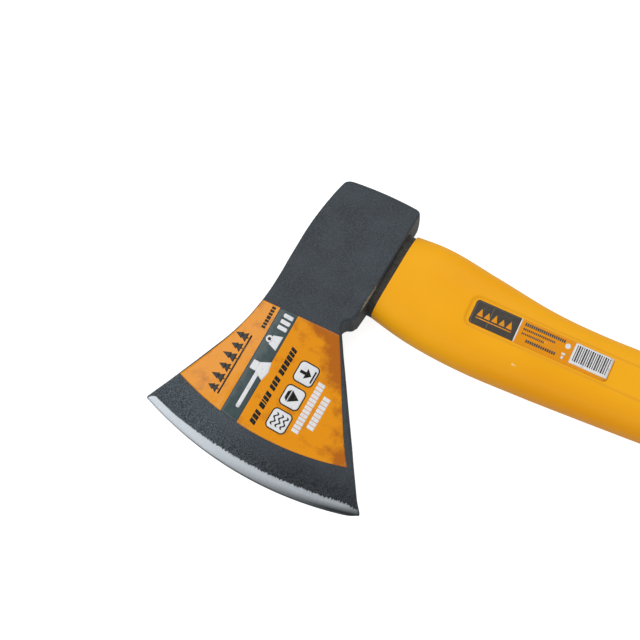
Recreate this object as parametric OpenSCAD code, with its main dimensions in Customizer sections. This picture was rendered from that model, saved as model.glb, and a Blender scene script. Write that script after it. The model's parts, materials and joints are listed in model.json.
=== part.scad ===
// Hatchet with a forged steel head on a fibreglass-cored plastic handle.
// The hatchet lies on its rear cheek: +X runs from the head to the butt, +Y towards the poll
// (the cutting edge faces -Y) and +Z is the labelled side. Millimetres.
// The design frame has its origin where the handle leaves the eye, on the mid-plane.
// The head has a frame of its own at the same origin, turned by head_tilt.

/* [Head] */
// Full thickness over the cheeks of the eye
cheek_t = 26.6; // [25:0.2:30]
// Turn of the head on the handle, so that the toe leads, in degrees
head_tilt = 5; // [0:1:8]
// Height of the poll's handle-side corner above the handle's axis
poll_h = 31; // [28:0.2:33]
// Rise of the poll towards the handle, in degrees
poll_slope = 5; // [0:0.5:8]
// Depth of the head along the handle, at the eye
neck_w = 41.8; // [40:0.2:46]
// Radius of the convex side of the eye block
shoulder_r = 150; // [120:10:220]
// Radius of the concave side that flares to the toe
flare_r = 120; // [105:5:140]
// Length of the straight run below the eye block's convex side
neck_flat = 14; // [8:1:20]
// Angle of the straight side that ends at the toe, from the head's own vertical
toe_angle = 22; // [18:1:26]
// Angle of the straight side that ends at the heel, from the head's own vertical
heel_angle = 34.9; // [32:0.1:37]

/* [Blade] */
// Radius of the cutting edge
edge_r = 180; // [150:1:200]
// Distance from the handle's axis down to the lowest point of the edge
edge_drop = 114.9; // [110:0.1:118]
// Distance of the edge's centre from the handle's end of the eye
edge_back = 14.2; // [10:0.2:16]
// Width of the ground bevel
bevel_w = 5; // [3:0.5:8]
// Thickness left at the cutting edge
edge_t = 0.3; // [0.2:0.1:0.8]

/* [Eye] */
// Height of the eye
eye_h = 38; // [34:1:40]
// Width of the eye
eye_w = 19; // [16:0.5:20]
// Length of the resin collar that shows between the head and the handle
collar_l = 3.6; // [2.5:0.1:5]
// Thickness of the collar across the cheeks
collar_t = 21.4; // [20:0.2:23]
// Height of the collar
collar_h = 43; // [40:0.5:44]

/* [Handle] */
// Distance from the eye to the butt's end
handle_l = 322; // [312:1:334]
// Thickness of the handle where the label is
handle_t = 23; // [22:0.2:25]
// Height of the fibreglass core
core_h = 24; // [20:1:25]
// Thickness of the core
core_t = 11; // [8:0.5:12]
// Where the core ends
core_end = 250; // [220:5:255]
// Length of the shallow panel on each side
panel_l = 122; // [118:1:124]
// Height of the panel
panel_h = 15.2; // [14:0.2:16]
// Depth of the panel's floor below the handle's crown
panel_d = 0.5; // [0.3:0.1:0.8]
// Diameter of the hang hole in the butt
hang_d = 8; // [6:0.5:9]
// Distance from the butt's end to the middle of the hang hole
hang_in = 15; // [14:0.5:17]

/* [Grip] */
// Where the grip sleeve starts
grip_start = 170; // [166:1:176]
// Length of the sleeve
grip_l = 120; // [112:8:120]
// Thickness of the sleeve's wall
grip_t = 2.2; // [1.8:0.1:2.6]
// Distance between the sleeve's ribs
rib_pitch = 8; // [7:0.5:10]
// Height of a rib
rib_h = 0.9; // [0.4:0.1:1.2]

/* [Labels] */
// Thickness of the printed films
film_t = 0.12; // [0.1:0.01:0.2]
// Distance from the cutting edge up to the head label's curved side
label_up = 18.9; // [16:0.2:22]
// Radius of the head label's curved side
label_r = 136; // [120:2:150]
// Margin between the head label and the toe-side of the blade
label_margin = 0.6; // [0.4:0.1:2]
// Length of the handle label
tag_l = 68; // [60:1:72]
// Height of the handle label
tag_h = 11.8; // [10:0.2:13]

/* [Hidden] */
$fn = 64;
far = 200;

// Head profile across the blade: distance from the handle's axis towards the poll, and half thickness.
// The cheeks are flat over the eye, then hollow out towards the bevel.
cheek = cheek_t / 2;
blade_profile = [
    [poll_h + 4, cheek - 1.5], [poll_h - 4, cheek - 0.9], [poll_h - 11, cheek], [-13, cheek],
    [-21, cheek - 0.9], [-29, cheek - 2.7], [-37, cheek - 4.9], [-46, cheek - 6.9],
    [-57, cheek - 8.5], [-70, cheek - 9.8], [-85, cheek - 10.8], [-100, cheek - 11.4],
    [-edge_drop - 2, cheek - 11.7]];

// Outline of the head, in the head's frame.
eye_face = -2.2;
// Below face_y the handle-side face curves away to the lug.
face_y = 2;
face_r = 600;
eye_y = -1.5;
// How far the resin stays below the top of the eye.
eye_dish = 2.8;
neck_x = eye_face - neck_w;
shoulder_y = -8;
flare_y = shoulder_y - neck_flat;
corner_r = 3;
shoulder_top = poll_h - (neck_w - 2 * corner_r) * tan(poll_slope);
flare_centre = [neck_x - flare_r, flare_y];
flare_end = flare_centre + flare_r * [cos(toe_angle), -sin(toe_angle)];
lug_mid = [-6.3, -27.6];
lug_r = 2.9;
notch_mid = [-3.8, -33.6];
notch_r = norm(lug_mid - notch_mid) - lug_r;
notch_turn = atan2(lug_mid[1] - notch_mid[1], lug_mid[0] - notch_mid[0]);
notch = notch_mid - notch_r * [cos(heel_angle), sin(heel_angle)];
face_turn = asin((lug_mid[1] - face_y) / face_r);
edge_centre = [-edge_back, edge_r - edge_drop];
// The poll's other corner touches both the poll and the convex side of the eye block.
shoulder_centre = [neck_x + shoulder_r, shoulder_y];
shoulder_turn = asin((shoulder_top - corner_r - shoulder_y) / (shoulder_r - corner_r));
shoulder_corner = shoulder_centre + (shoulder_r - corner_r) * [-cos(shoulder_turn), sin(shoulder_turn)];
// The sides run past the cutting edge, which trims them.
run_out = 15;
// The grinding wheel runs this far past the edge, and meets the blade where it is this much thicker.
wheel_run = 8;
bevel_step = 0.6;
// How far the resin collar reaches in under the head's face.
collar_bite = 3;

// Points where the two straight sides of the blade meet the cutting edge.
toe = line_on_circle(flare_end, -90 - toe_angle, edge_centre, edge_r);
heel = line_on_circle(notch, -90 + heel_angle, edge_centre, edge_r);

// Corners of the head label.
label_mid = [-17.2, label_r + label_up - edge_drop];
label_top = [-6.3, -38.9];
label_corner_y = -41;
label_turn = asin((label_corner_y - flare_y) / (flare_r + label_margin));
label_toe = line_on_circle(
    flare_end + label_margin * [cos(toe_angle), -sin(toe_angle)], -90 - toe_angle, label_mid, label_r);
// The label's heel side is this much steeper than the blade's.
label_lean = 1.7;
label_heel = line_on_circle(label_top, -90 + heel_angle - label_lean, label_mid, label_r);

// Handle outline: distance from the eye, poll side, edge side, half thickness.
root_x = -8;
stations = [
    [root_x, 20.8, -19.6, handle_t / 2 + 0.1],
    [18, 22.9, -25.3, handle_t / 2 + 0.1],
    [45, 19.6, -27.5, handle_t / 2],
    [75, 15.5, -26.9, handle_t / 2 - 0.1],
    [100, 14.7, -25.7, handle_t / 2 - 0.1],
    [130, 15.9, -24, handle_t / 2 + 0.1],
    [165, 17.6, -21.6, handle_t / 2 + 0.9],
    [205, 17.2, -18.8, cheek - rib_h],
    [245, 14.2, -20.6, cheek - rib_h],
    [275, 9.8, -27.5, cheek - rib_h],
    [302, 6.2, -38.5, cheek - rib_h],
    [handle_l + 4, 7.5, -42, cheek - rib_h]];
// The butt closes over this length.
butt_round = 13;
// Share of the half thickness that the closing butt keeps, and how sharply the rest then closes.
butt_keep = 0.55;
butt_close = 4;
// The butt ends in a flat this short of its full length.
butt_flat = 0.02;
// Power of the curve that the butt closes along.
butt_power = 2.4;
grip_end = grip_start + grip_l;
rib_count = round(grip_l / rib_pitch);
neck_rings = 44;
butt_rings = 12;
// The exponent of the handle's rounded section.
section_n = 2.7;
section_points = 24;
hang_y = -17;
panel_start = 38.5;
panel_y = -2;
panel_r = 4;
tag_start = 40.8;
tag_r = 1.6;
core_y = -1;
core_back = -41;

// The part's own frame: the origin is under the middle of its box.
toe_x = toe[0] * cos(head_tilt) + toe[1] * sin(head_tilt);
edge_y = edge_centre[1] * cos(head_tilt) - edge_centre[0] * sin(head_tilt) - edge_r;
poll_y = (poll_h - corner_r) * cos(head_tilt) - (eye_face - corner_r) * sin(head_tilt) + corner_r;
shift = [-(toe_x + handle_l) / 2, -(edge_y + poll_y) / 2, cheek];

// Points of an arc from angle a to angle b, ends included.
function arc(c, r, a, b, n) = [for (i = [0:n]) c + r * [cos(a + (b - a) * i / n), sin(a + (b - a) * i / n)]];

// Where a line from p, at an angle, first meets the far side of a circle.
function line_on_circle(p, a, c, r) =
    let (d = [cos(a), sin(a)], v = p - c, s = v * d) p + (sqrt(s * s - v * v + r * r) - s) * d;

// The direction of p from the centre of the head label's curved side.
function turn_of(p) = atan2(p[1] - label_mid[1], p[0] - label_mid[0]);

// Smooth interpolation of column k of a station table (Catmull-Rom).
function slope(t, k, i) =
    let (a = max(i - 1, 0), b = min(i + 1, len(t) - 1)) (t[b][k] - t[a][k]) / (t[b][0] - t[a][0]);
function segment(t, x, i = 0) = i >= len(t) - 2 || x < t[i + 1][0] ? i : segment(t, x, i + 1);
function smooth(t, k, x) =
    let (
        i = segment(t, x),
        h = t[i + 1][0] - t[i][0],
        u = (x - t[i][0]) / h,
        m0 = slope(t, k, i) * h,
        m1 = slope(t, k, i + 1) * h)
    t[i][k] * (2 * u ^ 3 - 3 * u ^ 2 + 1) + m0 * (u ^ 3 - 2 * u ^ 2 + u)
        + t[i + 1][k] * (3 * u ^ 2 - 2 * u ^ 3) + m1 * (u ^ 3 - u ^ 2);

// How far the butt has closed at x: 1 along the handle, 0 at its end.
function closing(x) =
    let (t = max(0, (x - handle_l + butt_round) / butt_round))
    (1 - t ^ butt_power) ^ (1 / butt_power);

// One ring of the handle at x, grown outwards by g: a rounded section between the two outlines.
function ring(x, g) =
    let (
        top = smooth(stations, 1, x),
        bottom = smooth(stations, 2, x),
        middle = (top + bottom) / 2,
        e = closing(x),
        a = ((top - bottom) / 2) * e + g,
        b = smooth(stations, 3, x) * (butt_keep + (1 - butt_keep) * e) * min(1, e * butt_close) + g)
    [for (i = [0:section_points - 1])
        let (w = 360 * i / section_points, c = cos(w), s = sin(w))
        [x, middle + a * sign(c) * abs(c) ^ (2 / section_n), b * sign(s) * abs(s) ^ (2 / section_n)]];

// Height of the ribbed sleeve's surface over the plain handle at x.
function rib(x) = rib_h * (0.5 - 0.5 * cos(360 * (x - grip_start) * rib_count / grip_l));

// The rings that the sleeve is moulded on, one to a rib.
function seat_rings() = [for (i = [0:rib_count]) ring(grip_start + grip_l * i / rib_count, -grip_t)];

// Where the butt's rings lie, closer together towards its end.
function butt_x(u) = handle_l - butt_round * (1 - sin(90 * u)) - butt_flat;

// Triangles between ring j and ring k of n points each.
function band(j, k, n) =
    [for (i = [0:n - 1])
        let (a = j * n + i, b = j * n + (i + 1) % n, c = k * n + i, d = k * n + (i + 1) % n)
        each [[a, d, b], [a, c, d]]];

// A closed skin over a list of equal rings, with flat ends.
module skin(rings) {
    n = len(rings[0]);
    m = len(rings);
    sides = [for (j = [0:m - 2]) each band(j, j + 1, n)];
    ends = [[for (i = [0:n - 1]) i], [for (i = [n - 1:-1:0]) (m - 1) * n + i]];
    polyhedron([for (r = rings) each r], concat(sides, ends), convexity = 8);
}

// A closed sleeve between an outer and an inner list of rings that share both ends.
module tube(outer, inner) {
    n = len(outer[0]);
    rings = concat(outer, [for (i = [len(inner) - 1:-1:0]) inner[i]]);
    m = len(rings);
    polyhedron([for (r = rings) each r], [for (j = [0:m - 1]) each band(j, (j + 1) % m, n)], convexity = 8);
}

// The head's frame.
module head_frame() {
    rotate([0, 0, -head_tilt]) children();
}

// An outline drawn out by h to both sides of its plane.
module slab(h) {
    linear_extrude(2 * h, center = true) children();
}

// The blade profile, grown outwards by g, drawn out along the head's X.
module profile_prism(g) {
    rotate([90, 0, 90])
        slab(far)
            polygon(concat(
                [for (p = blade_profile) [p[0], p[1] + g]],
                [for (i = [len(blade_profile) - 1:-1:0]) [blade_profile[i][0], -blade_profile[i][1] - g]]));
}

module head_outline() {
    polygon(concat(
        arc([eye_face - corner_r, poll_h - corner_r], corner_r, 0, 90 + poll_slope, 4),
        arc(shoulder_corner, corner_r, 90 + poll_slope, 180 - shoulder_turn, 4),
        arc(shoulder_centre, shoulder_r, 180 - shoulder_turn, 180, 4),
        arc(flare_centre, flare_r, 0, -toe_angle, 8),
        [toe + run_out * [-sin(toe_angle), -cos(toe_angle)]],
        [heel + run_out * [sin(heel_angle), -cos(heel_angle)]],
        arc(notch_mid, notch_r, 180 + heel_angle, notch_turn, 5),
        arc(lug_mid, lug_r, notch_turn - 180, face_turn, 5),
        arc([eye_face - face_r, face_y], face_r, face_turn, 0, 6)));
}

// Outline of the head label: a straight top, sides along the blade's sides and a bottom along the edge.
module label_outline() {
    polygon(concat(
        arc(flare_centre, flare_r + label_margin, label_turn, -toe_angle, 6),
        arc(label_mid, label_r, turn_of(label_toe), turn_of(label_heel), 16),
        [label_top]));
}

// Everything on the head's side of the collar's end, which runs parallel to the head's face.
module collar_limit() {
    polygon(concat(
        [[-far / 2, far / 2], [-far / 2, -far / 2]],
        arc([eye_face - face_r, face_y], face_r + collar_l, 2 * face_turn, 0, 8),
        [[eye_face + collar_l, far / 2]]));
}

// What the grinding wheel takes off above the bevel, all along the cutting edge.
module bevel_cut() {
    bevel_t = 2 * blade_profile[len(blade_profile) - 1][1] + bevel_step;
    translate([edge_centre[0], edge_centre[1], 0])
        rotate_extrude($fn = 180)
            polygon([
                [edge_r - bevel_w, bevel_t / 2], [edge_r, edge_t / 2], [edge_r + wheel_run, edge_t / 2],
                [edge_r + wheel_run, cheek], [edge_r - bevel_w, cheek]]);
}

// A straight bar with round edges, w thick and h high about y, from x0 to x1.
module bar(w, h, y, x0, x1) {
    translate([x0, y, 0])
        rotate([90, 0, 90])
            linear_extrude(x1 - x0) {
                square([h - w, w], center = true);
                for (s = [-1, 1])
                    translate([s * (h - w) / 2, 0]) circle(d = w);
            }
}

module core_bar() {
    bar(core_t, core_h, core_y, core_back, core_end);
}

module rounded_plate(l, h, r) {
    for (x = [r, l - r], y = [r - h / 2, h / 2 - r])
        translate([x, y]) circle(r);
    translate([r, -h / 2]) square([l - 2 * r, h]);
    translate([0, r - h / 2]) square([l, h - 2 * r]);
}

module axe_head() {
    color("#40474e")
        translate(shift) head_frame()
            difference() {
                intersection() {
                    slab(cheek) head_outline();
                    profile_prism(0);
                    translate([edge_centre[0], edge_centre[1], 0])
                        cylinder(r = edge_r, h = cheek_t, center = true, $fn = 360);
                }
                bar(eye_w, eye_h, eye_y, -far / 2, far / 2);
                bevel_cut();
                mirror([0, 0, 1]) bevel_cut();
            }
}

module eye_resin() {
    color("#2f2d2b")
        translate(shift) difference() {
            head_frame() {
                bar(eye_w, eye_h, eye_y, neck_x + eye_dish, eye_face);
                difference() {
                    bar(collar_t, collar_h, 0, eye_face - collar_bite, eye_face + 2 * collar_l);
                    slab(far) head_outline();
                    slab(far) difference() {
                        translate([0, -far / 2]) square(far);
                        collar_limit();
                    }
                }
            }
            core_bar();
        }
}

module handle_core() {
    color("#d9cfa8") translate(shift) core_bar();
}

module handle_jacket() {
    color("#edaa18")
        translate(shift) difference() {
            skin(concat(
                [for (i = [0:neck_rings]) ring(root_x + (grip_start - root_x) * i / neck_rings, 0)],
                seat_rings(),
                [for (i = [0:3]) ring(grip_end + (handle_l - butt_round - grip_end) * i / 4, 0)],
                [for (i = [0:butt_rings]) ring(butt_x(i / butt_rings), 0)]));
            core_bar();
            head_frame() slab(far) collar_limit();
            for (side = [0, 1])
                mirror([0, 0, side])
                    translate([panel_start, panel_y, handle_t / 2 - panel_d])
                        linear_extrude(cheek) rounded_plate(panel_l, panel_h, panel_r);
            translate([handle_l - hang_in, hang_y, 0]) cylinder(d = hang_d, h = far, center = true);
        }
}

module grip_sleeve() {
    color("#1d1e20")
        translate(shift)
            tube(
                [for (i = [0:4 * rib_count])
                    let (x = grip_start + grip_l * i / (4 * rib_count))
                    ring(x, rib(x))],
                seat_rings());
}

module head_label() {
    color("#e8951f")
        translate(shift) head_frame()
            difference() {
                intersection() {
                    linear_extrude(cheek) label_outline();
                    profile_prism(film_t);
                }
                profile_prism(0);
            }
}

module handle_label() {
    color("#e8a040")
        translate(shift + [tag_start, panel_y, handle_t / 2 - panel_d])
            linear_extrude(film_t) rounded_plate(tag_l, tag_h, tag_r);
}

axe_head();
eye_resin();
handle_core();
handle_jacket();
grip_sleeve();
head_label();
handle_label();
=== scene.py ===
"""A small hatchet: forged head, cored plastic handle, rubber grip and two printed films.

Shapes are worked out in millimetres in the handle's design frame, whose origin is where the handle
leaves the eye, on the mid-plane. The head has its own frame at the same origin, turned by its tilt.
"""

import json
import math

import bmesh
import bpy
import numpy as np
from bpy.props import FloatProperty, FloatVectorProperty, PointerProperty
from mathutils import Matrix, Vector


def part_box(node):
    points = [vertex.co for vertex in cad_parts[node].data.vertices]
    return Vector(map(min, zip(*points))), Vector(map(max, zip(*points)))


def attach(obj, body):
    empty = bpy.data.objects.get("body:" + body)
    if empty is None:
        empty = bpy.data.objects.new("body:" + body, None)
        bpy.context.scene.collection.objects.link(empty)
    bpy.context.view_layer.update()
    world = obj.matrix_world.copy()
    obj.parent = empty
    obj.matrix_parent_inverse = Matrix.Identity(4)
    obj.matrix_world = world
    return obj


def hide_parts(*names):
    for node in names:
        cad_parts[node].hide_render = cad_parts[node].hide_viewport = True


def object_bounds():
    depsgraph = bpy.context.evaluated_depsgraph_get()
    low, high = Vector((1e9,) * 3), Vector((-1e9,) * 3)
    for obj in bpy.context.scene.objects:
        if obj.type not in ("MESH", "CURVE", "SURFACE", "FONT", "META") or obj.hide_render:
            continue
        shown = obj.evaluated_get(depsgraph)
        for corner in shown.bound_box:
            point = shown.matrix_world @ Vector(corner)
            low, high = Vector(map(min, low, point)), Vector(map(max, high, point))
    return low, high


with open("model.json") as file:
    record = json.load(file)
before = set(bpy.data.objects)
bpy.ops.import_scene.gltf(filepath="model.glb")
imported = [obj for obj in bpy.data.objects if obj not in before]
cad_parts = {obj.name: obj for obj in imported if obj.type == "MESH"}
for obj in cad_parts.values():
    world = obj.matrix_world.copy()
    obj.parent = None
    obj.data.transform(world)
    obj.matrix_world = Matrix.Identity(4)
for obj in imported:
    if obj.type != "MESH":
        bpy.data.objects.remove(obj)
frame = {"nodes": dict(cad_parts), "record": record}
cad_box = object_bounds()

bl_info = {
    "name": "Hatchet",
    "version": (1, 0, 0),
    "blender": (4, 5, 0),
    "location": "3D View > Sidebar > Hatchet",
    "description": "Builds a small hatchet around its CAD frame, with a studio for it",
    "category": "Add Mesh",
}

MM = 0.001
# Points this close are one, and an edge steeper than this is a crease
MERGE = 2e-6
SHARP = math.radians(38)
BODY = "root"
MOUNTS = {m["name"]: np.array(m["pos_m"]) / MM for m in frame["record"]["mounts"]}
HANG_FROM_EYE = np.array([307.0, -17.0, 0.0])
ORIGIN = MOUNTS["hang_hole"] - HANG_FROM_EYE
HEAD_LOW, HEAD_HIGH = (np.array(corner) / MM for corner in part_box("axe_head"))
CHEEK = (HEAD_HIGH[2] - HEAD_LOW[2]) / 2
HANDLE_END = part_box("handle_jacket")[1].x / MM - ORIGIN[0]
GRIP_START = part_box("grip_sleeve")[0].x / MM - ORIGIN[0]
GRIP_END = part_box("grip_sleeve")[1].x / MM - ORIGIN[0]
HANG_RADIUS = next(m["dims"]["r_mm"] for m in frame["record"]["mounts"] if m["name"] == "hang_hole")


# Arrays and meshes


def arc(centre, radius, start, stop, count):
    """Points of a circular arc from one angle to another, in degrees, ends included."""
    turn = np.radians(np.linspace(start, stop, count))
    return np.array(centre) + radius * np.stack([np.cos(turn), np.sin(turn)], -1)


def ease(x, low, high):
    """0 below low, 1 above high, and 3t^2 - 2t^3 between."""
    t = np.clip((x - low) / (high - low), 0, 1)
    return t * t * (3 - 2 * t)


def smooth_curve(stations, column, x):
    """Cubic Hermite curve through a column of a station table, with Catmull-Rom slopes."""
    table = np.array(stations, float)
    xs, ys = table[:, 0], table[:, column]
    slopes = np.empty(len(xs))
    slopes[1:-1] = (ys[2:] - ys[:-2]) / (xs[2:] - xs[:-2])
    slopes[0] = (ys[1] - ys[0]) / (xs[1] - xs[0])
    slopes[-1] = (ys[-1] - ys[-2]) / (xs[-1] - xs[-2])
    i = np.clip(np.searchsorted(xs, x, "right") - 1, 0, len(xs) - 2)
    span = xs[i + 1] - xs[i]
    u = (x - xs[i]) / span
    return (
        ys[i] * (2 * u**3 - 3 * u**2 + 1)
        + slopes[i] * span * (u**3 - 2 * u**2 + u)
        + ys[i + 1] * (3 * u**2 - 2 * u**3)
        + slopes[i + 1] * span * (u**3 - u**2)
    )


def bell(x, middle, width):
    """1 at the middle, 1/e a width away from it and nothing far off: e to the power of -t^2."""
    return np.exp(-(((x - middle) / width) ** 2))


def line_through(start, stop, x):
    """Height at x of the line through two points."""
    return start[1] + (x - start[0]) / (stop[0] - start[0]) * (stop[1] - start[1])


def ripple(*coordinates, wavelength, seed=0):
    """A smooth uneven wave from -1 to 1: three sines per axis, at odd ratios of one wavelength."""
    total = 0.0
    for k, ratio in enumerate((1.0, 1.7, 2.9)):
        phase = seed * 1.3 + k * 2.1
        for j, value in enumerate(coordinates):
            turn = 2 * math.pi * value * ratio / wavelength
            total = total + np.sin(turn + phase + 1.9 * j) / (k + 1)
    return total / (1.83 * len(coordinates))


def grid_faces(rows, columns, wrap=False, start=0):
    """Quads between a grid's points, held row by row. A wrapped grid's last column joins its first."""
    across = columns if wrap else columns - 1
    row, column = np.meshgrid(np.arange(rows - 1), np.arange(across), indexing="ij")
    here = start + row * columns + column
    right = start + row * columns + (column + 1) % columns
    return np.stack([here, right, right + columns, here + columns], -1).reshape(-1, 4)


def new_piece(name, points, faces, material):
    """A mesh piece from points in the design frame, in millimetres."""
    mesh = bpy.data.meshes.new(name)
    mesh.from_pydata(((points + ORIGIN) * MM).tolist(), [], faces.tolist())
    finish_mesh(mesh)
    piece = bpy.data.objects.new(name, mesh)
    bpy.context.scene.collection.objects.link(piece)
    mesh.materials.append(material)
    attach(piece, BODY)
    return piece


def finish_mesh(mesh):
    """Merges doubled points, closing the poles, turns the faces outwards and marks creases as sharp."""
    work = bmesh.new()
    work.from_mesh(mesh)
    bmesh.ops.remove_doubles(work, verts=work.verts, dist=MERGE)
    bmesh.ops.dissolve_degenerate(work, edges=work.edges, dist=MERGE / 4)
    bmesh.ops.recalc_face_normals(work, faces=work.faces)
    work.to_mesh(mesh)
    work.free()
    mesh.shade_smooth()
    mesh.set_sharp_from_angle(angle=SHARP)


def cut_away(piece, cutter):
    """Takes the cutter's volume out of the piece for good, and removes the cutter."""
    modifier = piece.modifiers.new("cut", "BOOLEAN")
    modifier.object = cutter
    modifier.operation = "DIFFERENCE"
    modifier.solver = "EXACT"
    bpy.context.view_layer.update()
    evaluated = piece.evaluated_get(bpy.context.evaluated_depsgraph_get())
    mesh = bpy.data.meshes.new_from_object(evaluated)
    piece.modifiers.clear()
    old = piece.data
    piece.data = mesh
    bpy.data.meshes.remove(old)
    bpy.data.objects.remove(cutter)
    mesh.set_sharp_from_angle(angle=SHARP)


def set_attribute(piece, name, values):
    """Stores one number per point of a piece."""
    attribute = piece.data.attributes.new(name, "FLOAT", "POINT")
    attribute.data.foreach_set("value", np.asarray(values, np.float32))


def piece_points(piece):
    """A piece's points in the design frame, in millimetres."""
    flat = np.empty(len(piece.data.vertices) * 3)
    piece.data.vertices.foreach_get("co", flat)
    return flat.reshape(-1, 3) / MM - ORIGIN


# The head's frame and outline

HEAD_TILT = math.radians(5)
# Half the head's width over the eye
HALF_W = 21
POLL_MID = 29.5
POLL_SLOPE = math.tan(math.radians(5.0))
FACE_X, FACE_Y, FACE_R = -2.2, 2.0, 600.0
NECK_X = FACE_X - 41.8
SHOULDER_Y, SHOULDER_R = -8.0, 150.0
FLARE_Y, FLARE_R, TOE_ANGLE = -22.0, 120.0, 22.0
HEEL_ANGLE = 34.9
LUG_MID, LUG_R = np.array([-6.3, -27.6]), 2.9
NOTCH_MID, NOTCH_R = np.array([-3.8, -33.6]), 3.6
EDGE_MID, EDGE_R = np.array([-14.2, 65.1]), 180.0
TIP_Y = -106.3
BEVEL_W, EDGE_T = 5.4, 0.3
# The poll's rounded rim, and how far the blade's two corners are worn round
RIM_W, RIM_H, RIM_V = 2.8, 2.0, 2.6
TOE_ROUND, HEEL_ROUND, ROUND_UP = 2.2, 1.5, 1.8
BLADE_PROFILE = [
    (-107, -11.8), (-100, -11.35), (-85, -10.8), (-70, -9.8), (-57, -8.5), (-46, -6.9), (-37, -4.9),
    (-29, -2.7), (-21, -0.9), (-13, -0.1), (-5, 0), (14, 0), (21, -0.2), (28, -0.9), (36, -1.6)]


def to_design(u, v, z):
    """Points of the head's frame, turned into the design frame."""
    c, s = math.cos(HEAD_TILT), math.sin(HEAD_TILT)
    return np.stack(np.broadcast_arrays(u * c + v * s, v * c - u * s, z), -1)


def to_head(points):
    """The design frame's x and y, turned into the head's frame."""
    c, s = math.cos(HEAD_TILT), math.sin(HEAD_TILT)
    return points[..., 0] * c - points[..., 1] * s, points[..., 0] * s + points[..., 1] * c


def toe_side(v):
    """The side that ends at the toe: convex over the eye, a short straight, concave and straight."""
    flare_stop = FLARE_Y - FLARE_R * math.sin(math.radians(TOE_ANGLE))
    shoulder = NECK_X + SHOULDER_R - np.sqrt(SHOULDER_R**2 - np.clip(v - SHOULDER_Y, 0, 60) ** 2)
    drop = np.clip(FLARE_Y - v, 0, FLARE_Y - flare_stop)
    flare = FLARE_R - np.sqrt(FLARE_R**2 - drop**2)
    return shoulder - flare - np.clip(flare_stop - v, 0, None) * math.tan(math.radians(TOE_ANGLE))


def heel_side():
    """Points of the side that ends at the heel, from the poll down: face, lug, notch and a straight."""
    turn = math.degrees(math.atan2(*(LUG_MID - NOTCH_MID)[::-1]))
    face = math.degrees(math.asin((LUG_MID[1] - FACE_Y) / FACE_R))
    notch = arc(NOTCH_MID, NOTCH_R, turn, 180 + HEEL_ANGLE, 24)
    slope = math.tan(math.radians(HEEL_ANGLE))
    tip = [notch[-1][0] + (notch[-1][1] - TIP_Y) * slope, TIP_Y]
    return np.concatenate([
        [[FACE_X, 40.0]],
        arc([FACE_X - FACE_R, FACE_Y], FACE_R, 0, face, 24),
        arc(LUG_MID, LUG_R, face, turn - 180, 24),
        notch,
        [tip, [tip[0] + 5 * slope, TIP_Y - 5]]])


HEEL_SIDE = heel_side()


def side_x(v):
    """Where the toe's side and the heel's side lie at height v."""
    order = np.argsort(HEEL_SIDE[:, 1])
    return toe_side(v), np.interp(v, HEEL_SIDE[order, 1], HEEL_SIDE[order, 0])


TOE_X, HEEL_X = (float(x) for x in side_x(np.array(TIP_Y)))
TOE_RUN, HEEL_RUN = (EDGE_R * math.atan2(x - EDGE_MID[0], EDGE_MID[1] - TIP_Y) for x in (TOE_X, HEEL_X))
EYE_Y = -1.5
COLLAR_L, COLLAR_H, COLLAR_T = 3.6, 43.0, 21.4


def face_x(v):
    """The head's handle-side face, without its lug: flat over the eye and curving away below."""
    return FACE_X - FACE_R + np.sqrt(FACE_R**2 - np.clip(FACE_Y - v, 0, 60) ** 2)


def meets_circle(start, degrees, centre, radius):
    """Where a line from a point, at an angle, first meets the far side of a circle."""
    way = np.array([math.cos(math.radians(degrees)), math.sin(math.radians(degrees))])
    off = np.array(start) - centre
    reach = off @ way
    return np.array(start) + (math.sqrt(reach**2 - off @ off + radius**2) - reach) * way


def edge_bow(share):
    """How far the cutting edge hangs below the line from toe to heel, at a share of the way across."""
    across = TOE_X + share * (HEEL_X - TOE_X) - EDGE_MID[0]
    ends = np.sqrt(EDGE_R**2 - (np.array([TOE_X, HEEL_X]) - EDGE_MID[0]) ** 2)
    return np.sqrt(EDGE_R**2 - across**2) - (ends[0] + share * (ends[1] - ends[0]))


def half_thickness(level):
    """Half thickness at a level: flat cheeks, a hollow blade and a slightly convex bevel."""
    body = CHEEK + smooth_curve(BLADE_PROFILE, 1, level)
    ground = np.clip((level - TIP_Y) / BEVEL_W, 0, 1) ** 0.7
    shoulder = CHEEK + smooth_curve(BLADE_PROFILE, 1, np.array(TIP_Y + BEVEL_W))
    return np.where(level < TIP_Y + BEVEL_W, EDGE_T / 2 + (shoulder - EDGE_T / 2) * ground, body)


def level_weight(level):
    """How much of the edge's bow a level has: none at the eye, all of it at the edge."""
    return 1 - ease(level, TIP_Y, -34.0)


def poll_tilt(level):
    """Slope of a level across the head, which grows towards the poll."""
    return POLL_SLOPE * ease(level, 0.0, POLL_MID)


def level_of(u, v):
    """The level and the share across of points in the head's frame, found by repeated substitution."""
    level = v + 0.0
    for _ in range(12):
        left, right = side_x(level)
        share = np.clip((u - left) / (right - left), 0, 1)
        level = v + level_weight(level) * edge_bow(share)
    return level, share


def across_thickness(level, share):
    """Share of the half thickness left across a level: the blade thins a little towards toe and heel."""
    blade = 1 - ease(level, -60.0, -30.0)
    return 1 - 0.12 * blade * np.abs(2 * share - 1) ** 3


def cheek_height(u, v):
    """Height of the head's front surface over the mid-plane, away from its rounded edges."""
    level, share = level_of(u, v)
    return half_thickness(level) * across_thickness(level, share)


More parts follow.
